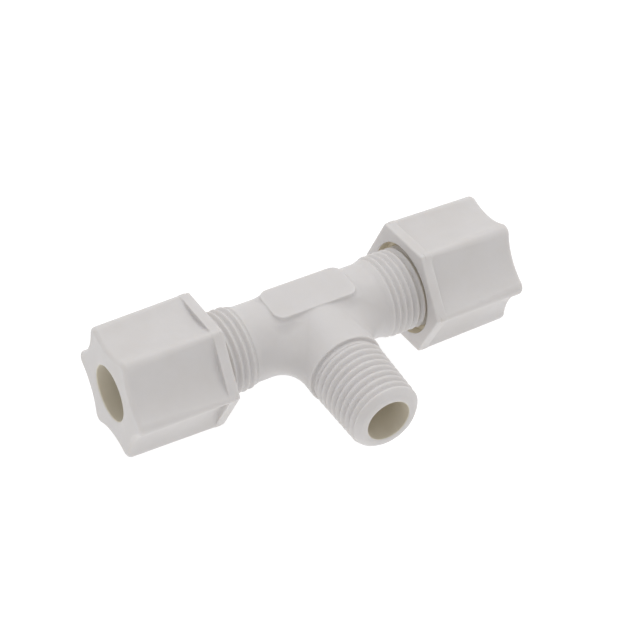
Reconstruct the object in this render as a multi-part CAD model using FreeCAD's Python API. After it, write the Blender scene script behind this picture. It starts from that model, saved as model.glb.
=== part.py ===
"""Male branch compression tee for 3/8 in plastic tube, with a 1/4 in tapered pipe thread on its branch.

Frame, in millimetres: X along the run, the branch points to -Y, +Z up through the flat pad.
The origin is where the run's axis meets the branch's axis.
Each tube end is drawn once, on the +X side, and turned half a turn about Z for the -X side.
"""
import FreeCAD, Part
import math
import os

Vector = FreeCAD.Vector

# Run of the body, measured from the origin along the run
RUN_END = 25.0
BARREL_R = 6.88
RUN_PITCH = 1.27
RUN_CREST_R = 7.60
RUN_ROOT_R = 6.93
RUN_CREST_WIDTH = 0.26
RUN_CREST_START = 12.84
RUN_TURNS = 10
NECK_END = 12.5
RUNOUT_START = 12.9
RUNOUT_END = 14.2
RUN_TIP_BEVEL = 0.8

# Tube socket, its mouth cone and the through bores
SOCKET_R = 4.82
SOCKET_STOP = 14.0
MOUTH_R = 6.10
CONE_HALF_ANGLE = math.radians(24)
THROUGH_R = 4.00

# Branch, measured from the origin towards -Y
BRANCH_END = 27.3
BOSS_ROOT_R = 6.79
BOSS_END_R = 7.08
BOSS_END = 13.4
BLEND_R = 5.5
GROOVE_END = 13.8
PIPE_PITCH = 25.4 / 18
PIPE_TAPER = 1 / 32
PIPE_CREST_R = 6.95
PIPE_CREST_AT = 13.0
PIPE_DEPTH = 0.85
PIPE_CREST_WIDTH = 0.30
PIPE_CREST_START = 14.68
PIPE_TURNS = 10
PIPE_RUNOUT = 0.6
GROOVE_FADE_START = 25.4
GROOVE_FADE_END = 26.5
GROOVE_FADE_R = 6.1
TIP_BEVEL_START = 26.0
TIP_R = 5.15
TIP_WASTE = 1.0
BORE_RIM = 0.15

# Flat pad on top of the body
PAD_LENGTH = 16.6
PAD_WIDTH = 8.1
PAD_Z = 7.12
PAD_CORNER_R = 2.0
PAD_EDGE_R = 0.3
PAD_FOOT_Z = 4.5

# Nut, measured outwards from the inner face of its flange
NUT_FACE_X = 19.54
NUT_LENGTH = 18.5
FLANGE_THICKNESS = 1.95
HEX_ACROSS_FLATS = 20.66
FLANGE_CORNER_R = 0.4
RIDGE_ROOT = (11.85, 0.7)
RIDGE_END = (11.55, 1.3)
FLUTE_FLOOR = 9.18
NUT_END_ROUND = 0.8
COUNTERBORE_R = 8.48
COUNTERBORE_DEPTH = 1.9
NUT_MAJOR_R = 7.75
NUT_MINOR_R = 7.08
NUT_CREST_WIDTH = 0.18
NUT_THREAD_END = 10.2
SEAT_R = 7.0
SEAT_START = 10.9
NUT_BORE_R = 4.98
NUT_BORE_START = 14.4
NUT_RIM = 0.2
RIGHT_NUT_TURN = -5.8
LEFT_NUT_TURN = 4.2

# Sealing sleeve and gripper, measured from the same face as the nut
RING_BORE_R = 4.85
SLEEVE_START = 7.9
SLEEVE_TIP_R = 5.15
SLEEVE_R = 6.30
SLEEVE_END = 11.1
SLEEVE_BEVEL = 0.4
GRIPPER_START = 11.2
GRIPPER_END = 14.0
GRIPPER_GAP = 1.2
TOOTH_COUNT = 3
TOOTH_DEPTH = 0.25
SEAT_CLEARANCE = 0.12

FLANK = math.tan(math.radians(30))
OVERCUT = 0.1
FOOT = 0.2
BURIED_END = 0.05
JOIN_TOLERANCE = 1e-4


def revolved(points):
    """A solid of revolution about Z from (radius, height) corners."""
    corners = [Vector(radius, 0, height) for radius, height in points]
    outline = Part.makePolygon(corners + corners[:1])
    return Part.Face(outline).revolve(Vector(), Vector(0, 0, 1), 360)


def along_run(shape):
    """Turns a shape drawn about Z so that its axis is +X and its X side is on +Y."""
    turned = shape.copy()
    turned.rotate(Vector(), Vector(1, 1, 1), 120)
    return turned


def along_branch(shape):
    """Turns a shape drawn upwards about Z so that it points to -Y."""
    turned = shape.copy()
    turned.rotate(Vector(), Vector(1, 0, 0), 90)
    return turned


def other_end(shape):
    """Turns a shape half a turn about Z, from one end of the run to the other."""
    turned = shape.copy()
    turned.rotate(Vector(), Vector(0, 0, 1), 180)
    return turned


def helical_ridge(profile, pitch, turns, start, taper=0.0):
    """A right-hand ridge about Z from (radius, height) corners. It starts over +X and widens by taper.

    Each turn is swept from the end of the turn before it, and the turns' sides are sewn into one solid.
    """
    corners = [Vector(radius, 0, start + rise) for radius, rise in profile]
    section = Part.makePolygon(corners + corners[:1])
    cone = [math.degrees(math.atan(taper))] if taper else []
    faces = []
    for turn in range(turns):
        helix = Part.makeHelix(pitch, pitch, profile[0][0] + turn * pitch * taper, *cone)
        helix.translate(Vector(0, 0, start + turn * pitch))
        swept = Part.Wire(helix.Edges).makePipeShell([section], True, True)
        flat = [face for face in swept.Faces if isinstance(face.Surface, Part.Plane)]
        near, far = sorted(flat, key=lambda face: face.CenterOfMass.z)
        faces += [face for face in swept.Faces if not isinstance(face.Surface, Part.Plane)]
        if turn == 0:
            faces.append(near)
        section = far.OuterWire
    faces.append(far)
    shell = Part.Shell(faces)
    shell.sewShape()
    return Part.Solid(shell)


def outer_profile(crest_r, root_r, crest_width):
    """A 60 degree ridge that stands outwards. Its top is turned down to crest_r later."""
    top = crest_width / 2 - OVERCUT * FLANK
    root = crest_width / 2 + (crest_r - root_r) * FLANK
    foot_r = root_r - FOOT
    top_r = crest_r + OVERCUT
    return [(foot_r, -root), (root_r, -root), (top_r, -top), (top_r, top), (root_r, root), (foot_r, root)]


def inner_profile(major_r, minor_r, crest_width):
    """A 60 degree ridge that stands inwards. Its tip is bored out to minor_r later."""
    tip = crest_width / 2 - OVERCUT * FLANK
    root = crest_width / 2 + (major_r - minor_r) * FLANK
    foot_r = major_r + FOOT
    tip_r = minor_r - OVERCUT
    return [(foot_r, -root), (major_r, -root), (tip_r, -tip), (tip_r, tip), (major_r, root), (foot_r, root)]


def run_blank():
    """The run without threads: barrel, a neck up to the thread root and bevelled ends."""
    tip_r = RUN_CREST_R - RUN_TIP_BEVEL
    bevel_start = RUN_END - (RUN_ROOT_R - tip_r)
    half = [(BARREL_R, NECK_END), (RUN_ROOT_R, RUNOUT_START), (RUN_ROOT_R, bevel_start), (tip_r, RUN_END)]
    mirrored = [(radius, -height) for radius, height in reversed(half)]
    return along_run(revolved([(0, -RUN_END)] + mirrored + half + [(0, RUN_END)]))


def blended_cross():
    """The run and the branch boss, with a rolling blend where they meet."""
    boss = Part.makeCone(BOSS_ROOT_R, BOSS_END_R, BOSS_END, Vector(), Vector(0, -1, 0))
    cross = run_blank().fuse(boss)
    seam = [edge for edge in cross.Edges if isinstance(edge.Curve, Part.BSplineCurve)]
    return cross.makeFillet(BLEND_R, seam)


def pad():
    """The raised flat pad, with rounded corners and a softened top edge."""
    block = Part.makeBox(PAD_LENGTH, PAD_WIDTH, PAD_Z - PAD_FOOT_Z)
    block.translate(Vector(-PAD_LENGTH / 2, -PAD_WIDTH / 2, PAD_FOOT_Z))
    uprights = [edge for edge in block.Edges if edge.BoundBox.ZLength > PAD_EDGE_R]
    block = block.makeFillet(PAD_CORNER_R, uprights)
    rim = [edge for edge in block.Edges if edge.BoundBox.ZMin > PAD_Z - PAD_EDGE_R]
    return block.makeFillet(PAD_EDGE_R, rim)


def run_thread():
    """The +X end's outside thread, with a run-out at the neck and a bevelled start."""
    profile = outer_profile(RUN_CREST_R, RUN_ROOT_R, RUN_CREST_WIDTH)
    ridge = helical_ridge(profile, RUN_PITCH, RUN_TURNS, RUN_CREST_START)
    buried_r = RUN_ROOT_R - 1.5 * FOOT
    turned_down = revolved([
        (buried_r, RUNOUT_START),
        (RUN_CREST_R, RUNOUT_END),
        (RUN_CREST_R, RUN_END - RUN_TIP_BEVEL),
        (buried_r, RUN_END - BURIED_END),
    ])
    return along_run(ridge.common(turned_down))


def pipe_crest_radius(distance):
    """The tapered thread's crest radius at a distance from the origin along the branch."""
    return PIPE_CREST_R - (distance - PIPE_CREST_AT) * PIPE_TAPER


def branch_core():
    """The tapered stem at the thread's root. It widens near the tip, where the last groove fades out."""
    root_at_boss = pipe_crest_radius(BOSS_END) - PIPE_DEPTH
    root_at_fade = pipe_crest_radius(GROOVE_FADE_START) - PIPE_DEPTH
    return along_branch(revolved([
        (0, 0),
        (root_at_boss, 0),
        (root_at_boss, BOSS_END),
        (root_at_fade, GROOVE_FADE_START),
        (GROOVE_FADE_R, GROOVE_FADE_END),
        (GROOVE_FADE_R, BRANCH_END + TIP_WASTE),
        (0, BRANCH_END + TIP_WASTE),
    ]))


def branch_thread():
    """The tapered pipe thread. It is drawn from past the tip inwards, because it widens that way."""
    crests_outside = math.ceil((BRANCH_END + TIP_WASTE - PIPE_CREST_START) / PIPE_PITCH)
    first_crest = PIPE_CREST_START + crests_outside * PIPE_PITCH
    crest_r = pipe_crest_radius(first_crest)
    profile = outer_profile(crest_r, crest_r - PIPE_DEPTH, PIPE_CREST_WIDTH)
    ridge = helical_ridge(profile, PIPE_PITCH, PIPE_TURNS, 0, PIPE_TAPER)
    ridge.rotate(Vector(), Vector(1, 0, 0), 180)
    ridge.translate(Vector(0, 0, first_crest))
    buried_depth = PIPE_DEPTH + 1.5 * FOOT
    turned_down = revolved([
        (pipe_crest_radius(GROOVE_END) - buried_depth, GROOVE_END),
        (pipe_crest_radius(GROOVE_END + PIPE_RUNOUT), GROOVE_END + PIPE_RUNOUT),
        (pipe_crest_radius(BRANCH_END), BRANCH_END),
        (pipe_crest_radius(first_crest), first_crest),
        (GROOVE_FADE_R - buried_depth, first_crest),
    ])
    return along_branch(ridge.common(turned_down))


def tip_waste():
    """What is turned away at the branch's tip: all outside the bevel and past the end."""
    bevel_start_r = pipe_crest_radius(TIP_BEVEL_START)
    slope = (TIP_R - bevel_start_r) / (BRANCH_END - TIP_BEVEL_START)
    clear_r = bevel_start_r - TIP_WASTE * slope
    clear_end = BRANCH_END + 4 * TIP_WASTE
    return along_branch(revolved([
        (clear_r, TIP_BEVEL_START - TIP_WASTE),
        (TIP_R, BRANCH_END),
        (0, BRANCH_END),
        (0, clear_end),
        (clear_r, clear_end),
    ]))


def body_bores():
    """Everything that is hollow in the body: both sockets, their mouths and the three-way bore."""
    cone_depth = (MOUTH_R - SOCKET_R) / math.tan(CONE_HALF_ANGLE)
    half = [
        (THROUGH_R, SOCKET_STOP),
        (SOCKET_R, SOCKET_STOP),
        (SOCKET_R, RUN_END - cone_depth),
        (MOUTH_R, RUN_END),
        (MOUTH_R, RUN_END + 1),
    ]
    mirrored = [(radius, -height) for radius, height in reversed(half)]
    run = along_run(revolved([(0, -RUN_END - 1)] + mirrored + half + [(0, RUN_END + 1)]))
    branch = along_branch(revolved([
        (0, 0),
        (THROUGH_R, 0),
        (THROUGH_R, BRANCH_END - BORE_RIM),
        (THROUGH_R + BORE_RIM, BRANCH_END),
        (THROUGH_R + BORE_RIM, BRANCH_END + 1),
        (0, BRANCH_END + 1),
    ]))
    return run.fuse(branch)


def tee_body():
    """The one-piece body."""
    right_thread = run_thread()
    blank = blended_cross().fuse(pad()).fuse(branch_core())
    threaded = blank.fuse([branch_thread(), right_thread, other_end(right_thread)], JOIN_TOLERANCE)
    return threaded.cut(tip_waste()).cut(body_bores())


def flute_radius(tip_r, ridge_r):
    """Radius of the hollow in each hex side, so that it runs into the ridges without a corner."""
    centre = tip_r - ridge_r
    slope = 2 * (FLUTE_FLOOR - ridge_r - centre * math.cos(math.pi / 6))
    rest = ridge_r ** 2 - FLUTE_FLOOR ** 2 - centre ** 2 + 2 * centre * FLUTE_FLOOR * math.cos(math.pi / 6)
    return rest / slope


def fluted_outline(tip_r, ridge_r, height):
    """A six-ridged outline: round ridges of ridge_r whose tips reach tip_r, and a hollow between each two."""
    hollow_r = flute_radius(tip_r, ridge_r)
    ridge_centre = tip_r - ridge_r
    hollow_centre = FLUTE_FLOOR + hollow_r
    share = ridge_r / (ridge_r + hollow_r)

    def at(radius, angle):
        return Vector(radius * math.cos(angle), radius * math.sin(angle), height)

    def tangent_point(ridge_angle, hollow_angle):
        ridge = at(ridge_centre, ridge_angle)
        return ridge + (at(hollow_centre, hollow_angle) - ridge) * share

    arcs = []
    for i in range(6):
        angle = i * math.pi / 3
        before = tangent_point(angle, angle - math.pi / 6)
        after = tangent_point(angle, angle + math.pi / 6)
        following = tangent_point(angle + math.pi / 3, angle + math.pi / 6)
        arcs.append(Part.Arc(before, at(tip_r, angle), after).toShape())
        arcs.append(Part.Arc(after, at(FLUTE_FLOOR, angle + math.pi / 6), following).toShape())
    return Part.Wire(arcs)


def nut_outside(turn):
    """The nut's outer form: a flat hex flange and a skirt with six soft ridges. A ridge is at turn degrees."""
    corner_r = HEX_ACROSS_FLATS / 2 / math.cos(math.pi / 6)
    corners = [Vector(corner_r * math.cos(i * math.pi / 3), corner_r * math.sin(i * math.pi / 3), 0)
               for i in range(6)]
    flange = Part.Face(Part.makePolygon(corners + corners[:1])).extrude(Vector(0, 0, FLANGE_THICKNESS))
    uprights = [edge for edge in flange.Edges if edge.BoundBox.ZLength > FLANGE_THICKNESS / 2]
    flange = flange.makeFillet(FLANGE_CORNER_R, uprights)
    skirt = Part.makeLoft([
        fluted_outline(*RIDGE_ROOT, FLANGE_THICKNESS - 0.5),
        fluted_outline(*RIDGE_END, NUT_LENGTH),
    ], True, True)
    rim = [edge for edge in skirt.Edges if edge.BoundBox.ZMin > NUT_LENGTH - 0.01]
    outside = flange.fuse(skirt.makeFillet(NUT_END_ROUND, rim))
    outside.rotate(Vector(), Vector(0, 0, 1), turn)
    return outside


def nut_hollow():
    """Everything that is hollow in the nut, at the thread's major radius."""
    return revolved([
        (0, -1),
        (COUNTERBORE_R, -1),
        (COUNTERBORE_R, COUNTERBORE_DEPTH),
        (NUT_MAJOR_R, COUNTERBORE_DEPTH),
        (NUT_MAJOR_R, NUT_THREAD_END),
        (SEAT_R, SEAT_START),
        (NUT_BORE_R, NUT_BORE_START),
        (NUT_BORE_R, NUT_LENGTH - NUT_RIM),
        (NUT_BORE_R + NUT_RIM, NUT_LENGTH),
        (NUT_BORE_R + NUT_RIM, NUT_LENGTH + 1),
        (0, NUT_LENGTH + 1),
    ])


def nut_thread():
    """The nut's inside thread, drawn where the body's thread leaves room for it."""
    profile = inner_profile(NUT_MAJOR_R, NUT_MINOR_R, NUT_CREST_WIDTH)
    start = RUN_CREST_START + RUN_PITCH / 2 - NUT_FACE_X
    while start + RUN_PITCH < COUNTERBORE_DEPTH:
        start += RUN_PITCH
    turns = math.ceil((NUT_THREAD_END - start) / RUN_PITCH) + 1
    ridge = helical_ridge(profile, RUN_PITCH, turns, start)
    lead_in = NUT_MAJOR_R - NUT_MINOR_R
    buried = 2 * FOOT
    bored = revolved([
        (NUT_MAJOR_R, COUNTERBORE_DEPTH),
        (NUT_MINOR_R, COUNTERBORE_DEPTH + lead_in),
        (NUT_MINOR_R, NUT_THREAD_END - lead_in),
        (NUT_MAJOR_R, NUT_THREAD_END),
        (NUT_MAJOR_R + buried, NUT_THREAD_END - buried),
        (NUT_MAJOR_R + buried, COUNTERBORE_DEPTH + buried),
    ])
    return ridge.common(bored)


def nut(turn):
    """One compression nut on the +X end, at its resting place."""
    solid = nut_outside(turn).cut(nut_hollow()).fuse([nut_thread()], JOIN_TOLERANCE)
    return along_run(solid.translated(Vector(0, 0, NUT_FACE_X)))


def sleeve():
    """The tapered sealing sleeve on the +X end. Its long cone faces the body's mouth."""
    shoulder = SLEEVE_START + (SLEEVE_R - SLEEVE_TIP_R) / math.tan(CONE_HALF_ANGLE)
    solid = revolved([
        (RING_BORE_R, SLEEVE_START),
        (SLEEVE_TIP_R, SLEEVE_START),
        (SLEEVE_R, shoulder),
        (SLEEVE_R, SLEEVE_END - SLEEVE_BEVEL / 2),
        (SLEEVE_R - SLEEVE_BEVEL, SLEEVE_END),
        (RING_BORE_R, SLEEVE_END),
    ])
    return along_run(solid.translated(Vector(0, 0, NUT_FACE_X)))


def gripper():
    """The split ring on the +X end: a cone that the nut's seat closes, with teeth that bite the tube."""
    seat_slope = (SEAT_R - NUT_BORE_R) / (NUT_BORE_START - SEAT_START)

    def cone_r(height):
        return SEAT_R - SEAT_CLEARANCE - (height - SEAT_START) * seat_slope

    tooth_length = (GRIPPER_END - GRIPPER_START) / TOOTH_COUNT
    outline = [(cone_r(GRIPPER_START), GRIPPER_START), (cone_r(GRIPPER_END), GRIPPER_END)]
    for i in range(TOOTH_COUNT):
        outer_end = GRIPPER_END - i * tooth_length
        outline.append((RING_BORE_R, outer_end))
        outline.append((RING_BORE_R + TOOTH_DEPTH, outer_end - tooth_length))
    ring = revolved(outline)
    slot = Part.makeBox(SEAT_R + 1, GRIPPER_GAP, NUT_LENGTH)
    slot.translate(Vector(0, -GRIPPER_GAP / 2, 0))
    return along_run(ring.cut(slot).translated(Vector(0, 0, NUT_FACE_X)))


def parts():
    """Every node's solid, by name."""
    right = {
        "right_nut": nut(RIGHT_NUT_TURN),
        "right_sleeve": sleeve(),
        "right_gripper": gripper(),
    }
    left = {
        "left_nut": other_end(nut(LEFT_NUT_TURN)),
        "left_sleeve": other_end(sleeve()),
        "left_gripper": other_end(gripper()),
    }
    return {"tee_body": tee_body(), **right, **left}


def main():
    os.makedirs("parts", exist_ok=True)
    for name, shape in parts().items():
        solid = shape.Solids[0]
        solid.exportStep(f"parts/{name}.step")
        box = solid.BoundBox
        print(f"{name}: solids {len(shape.Solids)}, valid {solid.isValid()}, volume {solid.Volume:.1f} mm3,"
              f" x {box.XMin:.2f}..{box.XMax:.2f}, z {box.ZMin:.2f}..{box.ZMax:.2f}")


main()
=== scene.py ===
"""Looks of the compression tee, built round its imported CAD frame.

The body and the nuts are drawn as signed distance fields, in millimetres, from the same dimensions as the
CAD model. Each field is meshed on a fine grid and its points are then moved onto the exact surface. The
fields add what the moulded plastic has and the CAD solids leave out: soft edges and rounded thread crests.
"""

import math

import bpy
import numpy as np
import openvdb
from mathutils import Matrix, Vector


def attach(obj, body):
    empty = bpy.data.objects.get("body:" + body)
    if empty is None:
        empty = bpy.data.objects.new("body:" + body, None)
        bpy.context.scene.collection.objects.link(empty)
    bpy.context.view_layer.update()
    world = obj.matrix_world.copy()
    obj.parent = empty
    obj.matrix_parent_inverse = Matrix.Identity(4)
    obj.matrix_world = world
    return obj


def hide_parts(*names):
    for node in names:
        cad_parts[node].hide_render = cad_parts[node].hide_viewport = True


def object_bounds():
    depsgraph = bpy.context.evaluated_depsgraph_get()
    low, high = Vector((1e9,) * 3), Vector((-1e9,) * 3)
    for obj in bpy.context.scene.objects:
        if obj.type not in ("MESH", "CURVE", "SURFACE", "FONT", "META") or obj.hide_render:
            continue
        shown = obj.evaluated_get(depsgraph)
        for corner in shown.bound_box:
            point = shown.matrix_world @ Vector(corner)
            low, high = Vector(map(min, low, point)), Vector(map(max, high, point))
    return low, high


MM = 0.001

# Run of the body, measured from the origin along the run
RUN_END = 25.0
BARREL_R = 6.88
RUN_PITCH = 1.27
RUN_CREST_R = 7.60
RUN_ROOT_R = 6.93
RUN_CREST_WIDTH = 0.26
RUN_CREST_START = 12.84
NECK_END = 12.5
RUNOUT_START = 12.9
RUNOUT_END = 14.2
RUN_TIP_BEVEL = 0.8

# Tube socket, its mouth cone and the through bores
SOCKET_R = 4.82
SOCKET_STOP = 14.0
MOUTH_R = 6.10
CONE_HALF_ANGLE = math.radians(24)
THROUGH_R = 4.00

# Branch, measured from the origin towards -Y
BRANCH_END = 27.3
BOSS_ROOT_R = 6.79
BOSS_END_R = 7.08
BOSS_END = 13.4
BLEND_R = 5.5
GROOVE_END = 13.8
PIPE_PITCH = 25.4 / 18
PIPE_TAPER = 1 / 32
PIPE_CREST_R = 6.95
PIPE_CREST_AT = 13.0
PIPE_DEPTH = 0.85
PIPE_CREST_WIDTH = 0.30
PIPE_CREST_START = 14.68
PIPE_RUNOUT = 0.6
GROOVE_FADE_START = 25.4
GROOVE_FADE_END = 26.5
GROOVE_FADE_R = 6.1
TIP_BEVEL_START = 26.0
TIP_R = 5.15
BORE_RIM = 0.15

# Flat pad on top of the body
PAD_LENGTH = 16.6
PAD_WIDTH = 8.1
PAD_Z = 7.12
PAD_CORNER_R = 2.0
PAD_FOOT_Z = 4.5
PAD_DRAFT = math.tan(math.radians(4))

# Nut, measured outwards from the inner face of its flange
NUT_FACE_X = 19.54
NUT_LENGTH = 18.5
FLANGE_THICKNESS = 1.95
SKIRT_START = FLANGE_THICKNESS - 0.5
HEX_ACROSS_FLATS = 20.66
RIDGE_ROOT = (11.85, 0.7)
RIDGE_END = (11.55, 1.3)
FLUTE_FLOOR = 9.18
NUT_END_ROUND = 0.8
COUNTERBORE_R = 8.48
COUNTERBORE_DEPTH = 1.9
NUT_MAJOR_R = 7.75
NUT_MINOR_R = 7.08
NUT_CREST_WIDTH = 0.18
NUT_THREAD_END = 10.2
SEAT_R = 7.0
SEAT_START = 10.9
NUT_BORE_R = 4.98
NUT_BORE_START = 14.4
NUT_RIM = 0.2
NUT_TURN = {"right": math.radians(-5.8), "left": math.radians(4.2)}

# Softness of the moulded edges
CREST_SOFT = 0.40
RUN_ROOT_SOFT = 0.50
PIPE_ROOT_SOFT = 0.90
SHOULDER_SOFT = 0.45
EDGE_SOFT = 0.30
PAD_SOFT = 0.25
PAD_FOOT_SHARE = 1.3
PAD_FOOT_LEAST = 0.1
PAD_FOOT_MOST = 1.6
RIM_SOFT = 0.20
FLANGE_SOFT = 0.25
FLANGE_FOOT_SOFT = 0.30
FLANGE_FACE_SOFT = 0.40
HEX_CORNER_SOFT = 0.25
RIDGE_SOFT = 0.35

FLANK = math.tan(math.radians(30))
FLANK_COS = math.cos(math.radians(30))

# Meshing: grid cells and margin in millimetres, and how finely the fields are worked out
BODY_CELL = 0.12
NUT_CELL = 0.11
MARGIN = 0.5
NUT_SPARE = 0.2
BAND_CELLS = 3
SLAB = 24
BLEND_STEPS = 26
BLEND_SPARE = 0.05
BLEND_MARGIN = 1
PROJECT_STEPS = 3
GRADIENT_STEP = 0.004
LEAST_SLOPE = 0.05
MAX_TRIANGLES = 190_000
TINY = 1e-6

# Moulded plastic: two tones to drift between, roughness and strength of the fine grain
BODY_TONES = ((0.615, 0.595, 0.591), (0.60, 0.578, 0.567))
NUT_TONES = ((0.62, 0.60, 0.594), (0.60, 0.577, 0.565))
RING_TONES = ((0.66, 0.65, 0.61), (0.63, 0.62, 0.57))
BODY_ROUGHNESS = 0.55
NUT_ROUGHNESS = 0.53
RING_ROUGHNESS = 0.45
BODY_GRAIN = 0.35
NUT_GRAIN = 0.30
RING_GRAIN = 0.20
PLASTIC_IOR = 1.49
PLASTIC_SPECULAR = 0.35
SCATTER_WEIGHT = 0.45
SCATTER_RADIUS = (1.0, 0.93, 0.82)
SCATTER_SCALE = 0.0012
SATIN_BELOW = 0.05
SATIN_ABOVE = 0.07
WAVE_STRENGTH = 0.35
WAVE_DEPTH = 0.00006
GRAIN_DEPTH = 0.00001

# Painted light inside the hollows: a warmer colour and a faint glow are painted on, standing in for the
# light that comes through the walls
PAINTED_HOLLOW_TINT = (0.60, 0.56, 0.48)
PAINTED_HOLLOW_GLOW = (1.0, 0.86, 0.58)
BORE_PAINTED_GLOW = 0.035
COUNTERBORE_PAINTED_GLOW = 0.10
SKIN = 0.1

# Hollows as tubes, where the painted warm tint and painted glow go: the line they follow, radius, start and
# end in millimetres, and how much they glow
BODY_PAINTED_LIGHT_TUBES = [
    ("run", SOCKET_R + SKIN, 0.0, RUN_END - SKIN, BORE_PAINTED_GLOW),
    ("branch", THROUGH_R + SKIN, THROUGH_R, BRANCH_END - SKIN, BORE_PAINTED_GLOW),
]
NUT_PAINTED_LIGHT_TUBES = [
    ("run", COUNTERBORE_R + SKIN, NUT_FACE_X + SKIN, NUT_FACE_X + NUT_THREAD_END, COUNTERBORE_PAINTED_GLOW),
    ("run", SEAT_R + SKIN, NUT_FACE_X + NUT_THREAD_END, NUT_FACE_X + NUT_LENGTH - SKIN, BORE_PAINTED_GLOW),
]
RING_PAINTED_LIGHT_TUBES = [("run", SOCKET_R + SKIN, 0.0, NUT_FACE_X + NUT_LENGTH, BORE_PAINTED_GLOW)]

# Stage: lamp, even white surroundings and a floor that glows white, in metres and watts
KEY_PLACE = (0.15, 0.20, 0.78)
KEY_SIZE = 0.5
KEY_POWER = 2.6
SKY_STRENGTH = 0.72
FLOOR_HALF = 3.0
FLOOR_GAP = 0.0005
FLOOR_GLOW = 0.88
FLOOR_ROUGHNESS = 0.9
FLOOR_TONES = ((0.24, 0.24, 0.24), (0.27, 0.27, 0.27))

# Camera, solved for the reference view: angles in degrees, distances in millimetres
CAMERA_AZIMUTH = -32.986
CAMERA_ELEVATION = 42.543
CAMERA_ROLL = 3.705
CAMERA_DISTANCE = 368.19
CAMERA_RIGHT = 1.631
CAMERA_UP = -0.049
CAMERA_LENS = 119.15
SENSOR = 36.0
SHIFT_X = 0.0070
SHIFT_Y = 0.0040

# Camera's clipping, in metres
CLIP_NEAR = 0.01
CLIP_FAR = 10.0


# ---------------------------------------------------------------- distance fields, in millimetres

def soft_max(a, b, width):
    """The larger of two distances, with the corner between them rounded over about width."""
    h = np.maximum(width - np.abs(a - b), 0.0) / width
    return np.maximum(a, b) + h * h * (width / 4)


def soft_min(a, b, width):
    """The smaller of two distances, with the corner between them filled over about width."""
    return -soft_max(-a, -b, width)


def sloped(radius, height, start, end):
    """Distance outside the cone through two (radius, height) points, the second one further along."""
    d_radius = end[0] - start[0]
    d_height = end[1] - start[1]
    length = math.hypot(d_radius, d_height)
    return ((radius - start[0]) * d_height - (height - start[1]) * d_radius) / length


def wrapped(shift, pitch):
    """Signed distance along the axis from the nearest crest."""
    return shift - pitch * np.round(shift / pitch)


def outer_ridge(radius, shift, crest_r, crest_width):
    """Distance outside a 60 degree ridge that stands outwards."""
    flank = ((radius - crest_r) * FLANK + np.abs(shift) - crest_width / 2) * FLANK_COS
    return soft_max(radius - crest_r, flank, CREST_SOFT)


def inner_ridge(radius, shift, minor_r, crest_width):
    """Distance outside a 60 degree ridge that stands inwards."""
    flank = ((minor_r - radius) * FLANK + np.abs(shift) - crest_width / 2) * FLANK_COS
    return soft_max(minor_r - radius, flank, CREST_SOFT)


def pipe_crest_radius(distance):
    """The tapered thread's crest radius at a distance from the origin along the branch."""
    return PIPE_CREST_R - (distance - PIPE_CREST_AT) * PIPE_TAPER


def boss_radius(distance):
    """The branch boss's radius at a distance from the origin."""
    return BOSS_ROOT_R + (BOSS_END_R - BOSS_ROOT_R) * distance / BOSS_END


def run_field(along, radius, angle):
    """The run without its bore: barrel, neck and thread. along is measured from the middle."""
    core = radius - np.interp(along, [NECK_END, RUNOUT_START], [BARREL_R, RUN_ROOT_R])
    shift = wrapped(along - RUN_CREST_START - RUN_PITCH * angle / math.tau, RUN_PITCH)
    ridge = outer_ridge(radius, shift, RUN_CREST_R, RUN_CREST_WIDTH)
    runout = sloped(radius, along, (RUN_ROOT_R, RUNOUT_START), (RUN_CREST_R, RUNOUT_END))
    run = soft_min(core, soft_max(ridge, runout, RIM_SOFT), RUN_ROOT_SOFT)
    bevel_start = (RUN_CREST_R, RUN_END - RUN_TIP_BEVEL)
    bevel = sloped(radius, along, bevel_start, (RUN_CREST_R - RUN_TIP_BEVEL, RUN_END))
    return soft_max(soft_max(run, bevel, RIM_SOFT), along - RUN_END, RIM_SOFT)


def stem_field(out, radius, angle):
    """The threaded stem of the branch without its bore. out is measured from the run's axis."""
    root_at_boss = pipe_crest_radius(BOSS_END) - PIPE_DEPTH
    root_at_fade = pipe_crest_radius(GROOVE_FADE_START) - PIPE_DEPTH
    places = [BOSS_END, GROOVE_FADE_START, GROOVE_FADE_END]
    core = radius - np.interp(out, places, [root_at_boss, root_at_fade, GROOVE_FADE_R])
    crest_r = pipe_crest_radius(out)
    shift = wrapped(out - PIPE_CREST_START - PIPE_PITCH * angle / math.tau, PIPE_PITCH)
    ridge = outer_ridge(radius, shift, crest_r, PIPE_CREST_WIDTH)
    runout_end = GROOVE_END + PIPE_RUNOUT
    runout_start_r = pipe_crest_radius(GROOVE_END) - PIPE_DEPTH
    runout = sloped(radius, out, (runout_start_r, GROOVE_END), (pipe_crest_radius(runout_end), runout_end))
    stem = soft_min(core, soft_max(ridge, runout, CREST_SOFT), PIPE_ROOT_SOFT)
    bevel = sloped(radius, out, (pipe_crest_radius(TIP_BEVEL_START), TIP_BEVEL_START), (TIP_R, BRANCH_END))
    return np.maximum(soft_max(soft_max(stem, bevel, EDGE_SOFT), out - BRANCH_END, EDGE_SOFT), -out)


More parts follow.
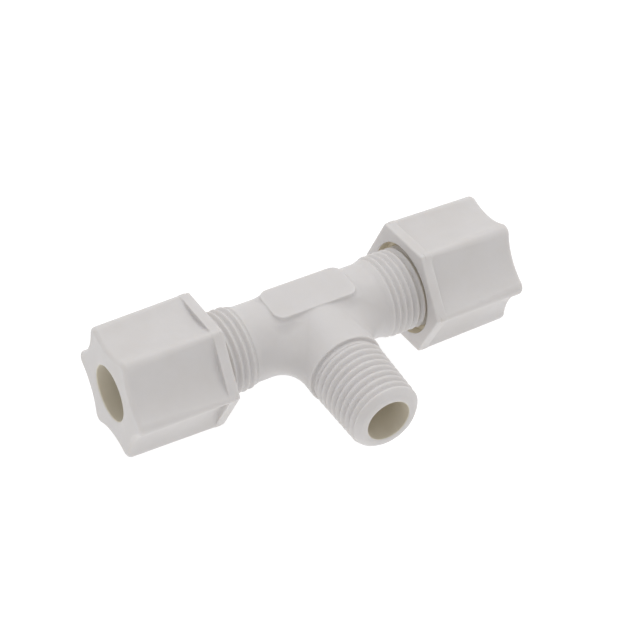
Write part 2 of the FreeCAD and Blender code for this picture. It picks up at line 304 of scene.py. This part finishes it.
def blend_field(x, out, z, cross):
    """cross, with a ball of BLEND_R rolled along the corner between the run and the boss."""
    x, out, z, cross = np.broadcast_arrays(np.abs(x), out, np.abs(z), cross)
    reach = BARREL_R + BLEND_R
    edge = reach + BLEND_MARGIN
    near = (x < edge) & (out > 0) & (out < edge) & (np.abs(cross) < BLEND_R)
    result = cross.copy()
    px, pq, pz = (values[near].astype(np.float64) for values in (x, out, z))
    low = np.full(px.shape, TINY)
    high = np.full(px.shape, reach - BLEND_SPARE)
    for _ in range(BLEND_STEPS):
        ball_z = (low + high) / 2
        ball_q = np.sqrt(reach ** 2 - ball_z ** 2)
        side_r = boss_radius(ball_q) + BLEND_R
        ball_x = np.sqrt(np.maximum(side_r ** 2 - ball_z ** 2, TINY))
        past = px / ball_x + pq / ball_q - pz / ball_z > 1
        high = np.where(past, ball_z, high)
        low = np.where(past, low, ball_z)
    cosine = ball_z ** 2 / (reach * side_r)
    dx, dq, dz = px - ball_x, pq - ball_q, pz - ball_z
    to_run = -(dq * ball_q + dz * ball_z) / reach
    to_boss = -(dx * ball_x + dz * ball_z) / side_r
    inside = (to_run > cosine * to_boss) & (to_boss > cosine * to_run)
    filled = BLEND_R - np.sqrt(dx * dx + dq * dq + dz * dz)
    result[near] = np.where(inside, np.minimum(filled, result[near]), result[near])
    return result


def pad_field(x, y, z):
    """The flat pad, with rounded corners, slightly drafted walls and a soft edge."""
    lean = (z - PAD_FOOT_Z) * PAD_DRAFT
    dx = np.abs(x) - PAD_LENGTH / 2 + PAD_CORNER_R + lean
    dy = np.abs(y) - PAD_WIDTH / 2 + PAD_CORNER_R + lean
    wall = np.hypot(np.maximum(dx, 0), np.maximum(dy, 0)) + np.minimum(np.maximum(dx, dy), 0) - PAD_CORNER_R
    return soft_max(np.maximum(wall, PAD_FOOT_Z - z), z - PAD_Z, PAD_SOFT)


def bores_field(along, run_r, out, branch_r):
    """Everything hollow in the body, negative inside the hollow."""
    cone_depth = (MOUTH_R - SOCKET_R) / math.tan(CONE_HALF_ANGLE)
    through = run_r - THROUGH_R
    socket = np.maximum(run_r - SOCKET_R, SOCKET_STOP - along)
    mouth = sloped(run_r, along, (SOCKET_R, RUN_END - cone_depth), (MOUTH_R, RUN_END))
    branch = np.maximum(branch_r - THROUGH_R, -out)
    rim = sloped(branch_r, out, (THROUGH_R, BRANCH_END - BORE_RIM), (THROUGH_R + BORE_RIM, BRANCH_END))
    run = np.minimum(np.minimum(through, socket), mouth)
    return np.minimum(run, np.minimum(branch, rim))


def body_field(x, y, z):
    """The one-piece body."""
    along = np.abs(x)
    end = np.where(x < 0, -1.0, 1.0)
    run_r = np.hypot(y, z)
    out = -y
    branch_r = np.hypot(x, z)
    run = run_field(along, run_r, np.arctan2(z + 0 * x, y * end))
    boss = np.maximum(soft_max(branch_r - boss_radius(out), out - BOSS_END, EDGE_SOFT), -out)
    cross = blend_field(x, out, z, np.minimum(run, boss))
    foot_soft = np.clip((PAD_Z - z) * PAD_FOOT_SHARE, PAD_FOOT_LEAST, PAD_FOOT_MOST)
    solid = soft_min(cross, pad_field(x, y, z), foot_soft)
    stem = stem_field(out, branch_r, np.arctan2(z + 0 * x, x + 0 * z))
    solid = soft_min(solid, stem, SHOULDER_SOFT)
    return soft_max(solid, -bores_field(along, run_r, out, branch_r), RIM_SOFT)


def star_field(radius, fold, height):
    """The nut's six-ridged outline. fold is the angle from the nearest ridge."""
    share = np.clip((height - SKIRT_START) / (NUT_LENGTH - SKIRT_START), 0, 1)
    tip_r = RIDGE_ROOT[0] + (RIDGE_END[0] - RIDGE_ROOT[0]) * share
    ridge_r = RIDGE_ROOT[1] + (RIDGE_END[1] + RIDGE_SOFT - RIDGE_ROOT[1]) * share
    centre = tip_r - ridge_r
    slope = 2 * (FLUTE_FLOOR - ridge_r - centre * FLANK_COS)
    rest = ridge_r ** 2 - FLUTE_FLOOR ** 2 - centre ** 2 + 2 * centre * FLUTE_FLOOR * FLANK_COS
    hollow_r = rest / slope
    hollow_x = (FLUTE_FLOOR + hollow_r) * FLANK_COS
    hollow_y = (FLUTE_FLOOR + hollow_r) / 2
    px = radius * np.cos(fold)
    py = radius * np.sin(fold)
    ridge = np.hypot(px - centre, py) - ridge_r
    hollow = hollow_r - np.hypot(px - hollow_x, py - hollow_y)
    beyond = (hollow_x - centre) * py - hollow_y * (px - centre) > 0
    return np.where(beyond, hollow, ridge)


def nut_field(height, u, v, turn):
    """A nut in its own frame: height outwards from the flange's inner face, u and v across."""
    radius = np.hypot(u, v)
    angle = np.arctan2(v, u)
    sector = math.tau / 6
    fold = np.abs(wrapped(angle - turn, sector))
    flats = soft_max(radius * np.cos(fold - sector / 2), radius * np.cos(fold + sector / 2), HEX_CORNER_SOFT)
    flange = soft_max(flats - HEX_ACROSS_FLATS / 2, height - FLANGE_THICKNESS, FLANGE_SOFT)
    flange = soft_max(flange, -height, FLANGE_FACE_SOFT)
    star = star_field(radius, fold, height)
    past_star = np.maximum(star + NUT_END_ROUND, 0)
    past_end = np.maximum(height - NUT_LENGTH + NUT_END_ROUND, 0)
    skirt = np.minimum(np.maximum(star, height - NUT_LENGTH), -NUT_END_ROUND) + np.hypot(past_star, past_end)
    skirt = np.maximum(skirt, FLANGE_THICKNESS / 2 - height)
    outside = soft_min(flange, skirt, FLANGE_FOOT_SOFT)

    counterbore = np.maximum(radius - COUNTERBORE_R, height - COUNTERBORE_DEPTH)
    step = sloped(radius, height, (NUT_MAJOR_R, NUT_THREAD_END), (SEAT_R, SEAT_START))
    step = np.maximum(step, radius - NUT_MAJOR_R)
    seat = sloped(radius, height, (SEAT_R, SEAT_START), (NUT_BORE_R, NUT_BORE_START))
    seat = np.maximum(seat, radius - SEAT_R)
    bore = radius - NUT_BORE_R
    rim = sloped(radius, height, (NUT_BORE_R, NUT_LENGTH - NUT_RIM), (NUT_BORE_R + NUT_RIM, NUT_LENGTH))
    hollow = np.minimum(np.minimum(counterbore, step), np.minimum(np.minimum(seat, bore), rim))
    solid = soft_max(outside, -hollow, RIM_SOFT)

    start = RUN_CREST_START + RUN_PITCH / 2 - NUT_FACE_X
    shift = wrapped(height - start - RUN_PITCH * angle / math.tau, RUN_PITCH)
    ridge = inner_ridge(radius, shift, NUT_MINOR_R, NUT_CREST_WIDTH)
    lead_in = NUT_MAJOR_R - NUT_MINOR_R
    opening_end = (NUT_MINOR_R, COUNTERBORE_DEPTH + lead_in)
    opening = -sloped(radius, height, (NUT_MAJOR_R, COUNTERBORE_DEPTH), opening_end)
    closing_start = (NUT_MINOR_R, NUT_THREAD_END - lead_in)
    closing = -sloped(radius, height, closing_start, (NUT_MAJOR_R, NUT_THREAD_END))
    floor = COUNTERBORE_DEPTH + RIM_SOFT / 2 - height
    for limit in (opening, closing, floor, radius - NUT_MAJOR_R - RIM_SOFT):
        ridge = np.maximum(ridge, limit)
    return np.minimum(solid, ridge)


# ---------------------------------------------------------------- from a field to a mesh

def gradient(field, points):
    """The field's slope at each point, by central differences."""
    slopes = np.empty_like(points)
    for axis in range(3):
        step = np.zeros(3)
        step[axis] = GRADIENT_STEP
        ahead = field(*(points + step).T)
        behind = field(*(points - step).T)
        slopes[:, axis] = (ahead - behind) / (2 * GRADIENT_STEP)
    return slopes


def projected(field, points, limit):
    """Points moved along the slope onto the exact surface, by at most limit each step."""
    for _ in range(PROJECT_STEPS):
        slope = gradient(field, points)
        size = np.maximum((slope ** 2).sum(1), LEAST_SLOPE)
        move = -(field(*points.T) / size)[:, None] * slope
        length = np.linalg.norm(move, axis=1)[:, None]
        points = points + move * np.minimum(1, limit / np.maximum(length, TINY))
    return points


def grid_surface(field, low, high, cell):
    """Points and quads of the field's zero surface, on a regular grid."""
    low = np.array(low, float) - MARGIN
    counts = np.ceil((np.array(high, float) + MARGIN - low) / cell).astype(int) + 1
    axes = [low[axis] + cell * np.arange(counts[axis]) for axis in range(3)]
    values = np.empty(counts, np.float32)
    band = BAND_CELLS * cell
    for first in range(0, counts[0], SLAB):
        x = axes[0][first:first + SLAB, None, None]
        distance = field(x, axes[1][None, :, None], axes[2][None, None, :])
        values[first:first + SLAB] = np.clip(distance, -band, band)
    grid = openvdb.FloatGrid(band)
    grid.copyFromArray(values)
    points, quads = grid.convertToQuads(0.0)
    return low + points.astype(float) * cell, quads


def triangulated(name, points, quads, most):
    """A mesh of the quads, thinned to at most that many triangles where the surface is plain."""
    mesh = bpy.data.meshes.new(name + "_fine")
    mesh.from_pydata([], [], [])
    mesh.vertices.add(len(points))
    mesh.vertices.foreach_set("co", points.astype(np.float32).ravel())
    mesh.loops.add(quads.size)
    mesh.loops.foreach_set("vertex_index", quads.astype(np.int32).ravel())
    mesh.polygons.add(len(quads))
    mesh.polygons.foreach_set("loop_start", np.arange(0, quads.size, 4, dtype=np.int32))
    mesh.update(calc_edges=True)
    fine = bpy.data.objects.new(name + "_fine", mesh)
    bpy.context.scene.collection.objects.link(fine)
    thin = fine.modifiers.new("thin", "DECIMATE")
    thin.ratio = min(1.0, most / (2 * len(quads)))
    thin.use_collapse_triangulate = True
    graph = bpy.context.evaluated_depsgraph_get()
    result = bpy.data.meshes.new_from_object(fine.evaluated_get(graph), depsgraph=graph)
    bpy.data.objects.remove(fine)
    bpy.data.meshes.remove(mesh)
    return result


def field_piece(name, field, low, high, cell):
    """An object with the field's surface as its mesh, in metres, with the field's own normals."""
    points, quads = grid_surface(field, low, high, cell)
    points = projected(field, points, cell / 2)
    corner = points[quads[:, 0]]
    facing = np.cross(points[quads[:, 1]] - corner, points[quads[:, 3]] - corner)
    if (facing * gradient(field, corner)).sum(1).mean() < 0:
        quads = quads[:, ::-1]
    mesh = triangulated(name, points, quads, MAX_TRIANGLES)
    mesh.name = name
    points = np.empty(len(mesh.vertices) * 3, np.float32)
    mesh.vertices.foreach_get("co", points)
    points = projected(field, points.reshape(-1, 3).astype(float), cell / 2)
    normals = gradient(field, points)
    normals /= np.maximum(np.linalg.norm(normals, axis=1), TINY)[:, None]
    mesh.vertices.foreach_set("co", (points * MM).astype(np.float32).ravel())
    mesh.polygons.foreach_set("use_smooth", np.ones(len(mesh.polygons), bool))
    mesh.update()
    mesh.normals_split_custom_set_from_vertices(normals.astype(np.float32))
    piece = bpy.data.objects.new(name, mesh)
    bpy.context.scene.collection.objects.link(piece)
    return piece


# ---------------------------------------------------------------- materials

def add_node(tree, kind, x, y, **values):
    """A shader node with its plain properties and its inputs set by name."""
    node = tree.nodes.new(kind)
    node.location = (x, y)
    for key, value in values.items():
        if hasattr(node, key):
            setattr(node, key, value)
        else:
            node.inputs[key].default_value = value
    return node


def maths(tree, operation, first, second):
    """A maths node on two inputs, each a socket or a number."""
    node = add_node(tree, "ShaderNodeMath", 0, 0, operation=operation)
    for socket, value in zip(node.inputs, (first, second)):
        if isinstance(value, (int, float)):
            socket.default_value = value
        else:
            tree.links.new(value, socket)
    return node.outputs["Value"]


def in_tube(tree, axes, way, radius, start, end):
    """One inside a tube both ways along the run or out along the branch, and nought outside it."""
    x, y, z = (axes.outputs[name] for name in "XYZ")
    if way == "run":
        across, along = y, maths(tree, "ABSOLUTE", x, 0.0)
    else:
        across, along = x, maths(tree, "MULTIPLY", y, -1.0)
    square = maths(tree, "ADD", maths(tree, "MULTIPLY", across, across), maths(tree, "MULTIPLY", z, z))
    near = maths(tree, "LESS_THAN", square, (radius * MM) ** 2)
    past_start = maths(tree, "GREATER_THAN", along, start * MM)
    before_end = maths(tree, "LESS_THAN", along, end * MM)
    return maths(tree, "MULTIPLY", near, maths(tree, "MULTIPLY", past_start, before_end))


def moulded_plastic(name, tones, roughness, grain_strength, painted_light_tubes):
    """Natural moulded polypropylene: faint cloudiness and flow, a satin skin and fine marks.

    Inside the tubes a warmer colour and a faint glow are painted on: painted light standing in for the light
    that comes through the walls.
    """
    material = bpy.data.materials.new(name)
    material.use_nodes = True
    tree = material.node_tree
    tree.nodes.clear()
    link = tree.links.new
    out = add_node(tree, "ShaderNodeOutputMaterial", 900, 0)
    skin = add_node(tree, "ShaderNodeBsdfPrincipled", 600, 0)
    skin.inputs["IOR"].default_value = PLASTIC_IOR
    skin.inputs["Specular IOR Level"].default_value = PLASTIC_SPECULAR
    skin.inputs["Subsurface Weight"].default_value = SCATTER_WEIGHT
    skin.inputs["Subsurface Radius"].default_value = SCATTER_RADIUS
    skin.inputs["Subsurface Scale"].default_value = SCATTER_SCALE
    link(skin.outputs["BSDF"], out.inputs["Surface"])
    place = add_node(tree, "ShaderNodeTexCoord", -1100, 0)

    cloud = add_node(tree, "ShaderNodeTexNoise", -700, 250,
                     **{"Scale": 160.0, "Detail": 3.0, "Roughness": 0.55})
    flow = add_node(tree, "ShaderNodeTexNoise", -700, 0,
                    **{"Scale": 420.0, "Detail": 4.0, "Distortion": 0.8})
    link(place.outputs["Object"], cloud.inputs["Vector"])
    link(place.outputs["Object"], flow.inputs["Vector"])
    tone = add_node(tree, "ShaderNodeMix", 100, 250, data_type="RGBA")
    tone.inputs["A"].default_value = (*tones[0], 1)
    tone.inputs["B"].default_value = (*tones[1], 1)
    spread = add_node(tree, "ShaderNodeMapRange", -300, 250, **{"From Min": 0.35, "From Max": 0.7})
    link(cloud.outputs["Fac"], spread.inputs["Value"])
    link(spread.outputs["Result"], tone.inputs["Factor"])
    axes = add_node(tree, "ShaderNodeSeparateXYZ", -900, 700)
    link(place.outputs["Object"], axes.inputs["Vector"])
    # Painted light: the tubes mask where the warm tint and the glow are painted on
    hollow = 0.0
    painted_glow = 0.0
    for *tube, strength in painted_light_tubes:
        inside = in_tube(tree, axes, *tube)
        hollow = maths(tree, "MAXIMUM", inside, hollow)
        painted_glow = maths(tree, "MAXIMUM", maths(tree, "MULTIPLY", inside, strength), painted_glow)
    # Painted warm tint inside the hollows, standing in for light through the walls
    painted_lining = add_node(tree, "ShaderNodeMix", 350, 250, data_type="RGBA")
    painted_lining.inputs["B"].default_value = (*PAINTED_HOLLOW_TINT, 1)
    link(hollow, painted_lining.inputs["Factor"])
    link(tone.outputs["Result"], painted_lining.inputs["A"])
    link(painted_lining.outputs["Result"], skin.inputs["Base Color"])
    # Painted glow inside the hollows: emission standing in for light through the walls, not a lamp
    skin.inputs["Emission Color"].default_value = (*PAINTED_HOLLOW_GLOW, 1)
    link(painted_glow, skin.inputs["Emission Strength"])

    satin = add_node(tree, "ShaderNodeMapRange", -300, 0,
                     **{"From Min": 0.3, "From Max": 0.7,
                        "To Min": roughness - SATIN_BELOW, "To Max": roughness + SATIN_ABOVE})
    link(flow.outputs["Fac"], satin.inputs["Value"])
    link(satin.outputs["Result"], skin.inputs["Roughness"])

    grain = add_node(tree, "ShaderNodeTexNoise", -700, -300,
                     **{"Scale": 2600.0, "Detail": 3.0, "Roughness": 0.6})
    wave = add_node(tree, "ShaderNodeTexNoise", -700, -550,
                    **{"Scale": 330.0, "Detail": 2.0, "Roughness": 0.5})
    link(place.outputs["Object"], grain.inputs["Vector"])
    link(place.outputs["Object"], wave.inputs["Vector"])
    coarse = add_node(tree, "ShaderNodeBump", 100, -450,
                      **{"Strength": WAVE_STRENGTH, "Distance": WAVE_DEPTH})
    fine = add_node(tree, "ShaderNodeBump", 350, -300,
                    **{"Strength": grain_strength, "Distance": GRAIN_DEPTH})
    link(wave.outputs["Fac"], coarse.inputs["Height"])
    link(grain.outputs["Fac"], fine.inputs["Height"])
    link(coarse.outputs["Normal"], fine.inputs["Normal"])
    link(fine.outputs["Normal"], skin.inputs["Normal"])
    return material


def pale_floor():
    """A plain white sweep with a trace of tone."""
    material = bpy.data.materials.new("pale_floor")
    material.use_nodes = True
    tree = material.node_tree
    skin = tree.nodes["Principled BSDF"]
    skin.inputs["Roughness"].default_value = FLOOR_ROUGHNESS
    skin.inputs["Specular IOR Level"].default_value = 0.0
    skin.inputs["Emission Color"].default_value = (1.0, 1.0, 1.0, 1)
    skin.inputs["Emission Strength"].default_value = FLOOR_GLOW
    mottle = add_node(tree, "ShaderNodeTexNoise", -600, 0, **{"Scale": 3.0, "Detail": 2.0})
    tone = add_node(tree, "ShaderNodeMix", -300, 0, data_type="RGBA")
    tone.inputs["A"].default_value = (*FLOOR_TONES[0], 1)
    tone.inputs["B"].default_value = (*FLOOR_TONES[1], 1)
    tree.links.new(mottle.outputs["Fac"], tone.inputs["Factor"])
    tree.links.new(tone.outputs["Result"], skin.inputs["Base Color"])
    return material


# ---------------------------------------------------------------- stage

def make_camera():
    """The camera at the photograph's viewing angle."""
    azimuth, elevation, roll = (math.radians(a) for a in (CAMERA_AZIMUTH, CAMERA_ELEVATION, CAMERA_ROLL))
    back = Vector((
        math.sin(azimuth) * math.cos(elevation),
        -math.cos(azimuth) * math.cos(elevation),
        math.sin(elevation),
    ))
    level = Vector((math.cos(azimuth), math.sin(azimuth), 0))
    above = back.cross(level)
    right = math.cos(roll) * level + math.sin(roll) * above
    up = -math.sin(roll) * level + math.cos(roll) * above
    data = bpy.data.cameras.new("camera")
    data.lens = CAMERA_LENS
    data.sensor_width = SENSOR
    data.shift_x = SHIFT_X
    data.shift_y = SHIFT_Y
    data.clip_start = CLIP_NEAR
    data.clip_end = CLIP_FAR
    camera = bpy.data.objects.new("camera", data)
    bpy.context.scene.collection.objects.link(camera)
    place = (back * CAMERA_DISTANCE + right * CAMERA_RIGHT + up * CAMERA_UP) * MM
    turn = Matrix((right, up, back)).transposed().to_4x4()
    camera.matrix_world = Matrix.Translation(place) @ turn
    bpy.context.scene.camera = camera


def area_light(name, place, size, power, aim=(0, 0, 0)):
    """A soft square lamp at place, in metres, that looks at aim."""
    data = bpy.data.lights.new(name, "AREA")
    data.shape = "SQUARE"
    data.size = size
    data.energy = power
    lamp = bpy.data.objects.new(name, data)
    bpy.context.scene.collection.objects.link(lamp)
    lamp.location = place
    lamp.rotation_mode = "QUATERNION"
    lamp.rotation_quaternion = (Vector(aim) - Vector(place)).to_track_quat("-Z", "Y")
    return lamp


def make_floor(height):
    """A wide pale floor at that height."""
    mesh = bpy.data.meshes.new("floor")
    signs = ((-1, -1), (1, -1), (1, 1), (-1, 1))
    corners = [(x * FLOOR_HALF, y * FLOOR_HALF, height) for x, y in signs]
    mesh.from_pydata(corners, [], [(0, 1, 2, 3)])
    floor = bpy.data.objects.new("floor", mesh)
    bpy.context.scene.collection.objects.link(floor)
    mesh.materials.append(pale_floor())


def make_world():
    """Even white studio light from all round."""
    world = bpy.data.worlds.new("studio")
    bpy.context.scene.world = world
    world.use_nodes = True
    sky = world.node_tree.nodes["Background"]
    sky.inputs["Color"].default_value = (1.0, 1.0, 1.0, 1)
    sky.inputs["Strength"].default_value = SKY_STRENGTH


# ---------------------------------------------------------------- the object

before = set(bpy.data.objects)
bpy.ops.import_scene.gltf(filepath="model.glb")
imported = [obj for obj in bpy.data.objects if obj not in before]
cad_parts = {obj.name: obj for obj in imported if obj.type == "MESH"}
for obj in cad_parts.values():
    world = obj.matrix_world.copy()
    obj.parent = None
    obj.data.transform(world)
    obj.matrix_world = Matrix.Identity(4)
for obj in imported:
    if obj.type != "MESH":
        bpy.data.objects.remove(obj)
cad_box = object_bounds()

# Each plastic gets its painted warm tint and painted glow inside its hollow tubes
body_plastic = moulded_plastic("body_plastic", BODY_TONES, BODY_ROUGHNESS, BODY_GRAIN, BODY_PAINTED_LIGHT_TUBES)
nut_plastic = moulded_plastic("nut_plastic", NUT_TONES, NUT_ROUGHNESS, NUT_GRAIN, NUT_PAINTED_LIGHT_TUBES)
ring_plastic = moulded_plastic("ring_plastic", RING_TONES, RING_ROUGHNESS, RING_GRAIN, RING_PAINTED_LIGHT_TUBES)

body_low = (-RUN_END, -BRANCH_END, -RUN_CREST_R)
body_high = (RUN_END, RUN_CREST_R, RUN_CREST_R)
body = field_piece("body", body_field, body_low, body_high, BODY_CELL)
body.data.materials.append(body_plastic)
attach(body, "tee_body")
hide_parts("tee_body")

for side, sign in (("right", 1.0), ("left", -1.0)):
    def side_field(x, y, z, sign=sign, turn=NUT_TURN[side]):
        return nut_field(sign * x - NUT_FACE_X, sign * y, z, turn)

    near, far = sorted((sign * NUT_FACE_X, sign * (NUT_FACE_X + NUT_LENGTH)))
    reach = RIDGE_ROOT[0] + NUT_SPARE
    nut_low = (near, -reach, -reach)
    nut_high = (far, reach, reach)
    piece = field_piece(f"{side}_compression_nut", side_field, nut_low, nut_high, NUT_CELL)
    piece.data.materials.append(nut_plastic)
    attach(piece, f"{side}_nut")
    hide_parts(f"{side}_nut")

for side in ("right", "left"):
    for ring in ("gripper", "sleeve"):
        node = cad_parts[f"{side}_{ring}"]
        node.data.materials.clear()
        node.data.materials.append(ring_plastic)

make_camera()
make_world()
make_floor(cad_box[0].z - FLOOR_GAP)
area_light("key", KEY_PLACE, KEY_SIZE, KEY_POWER)
bpy.context.scene.view_settings.view_transform = "Standard"
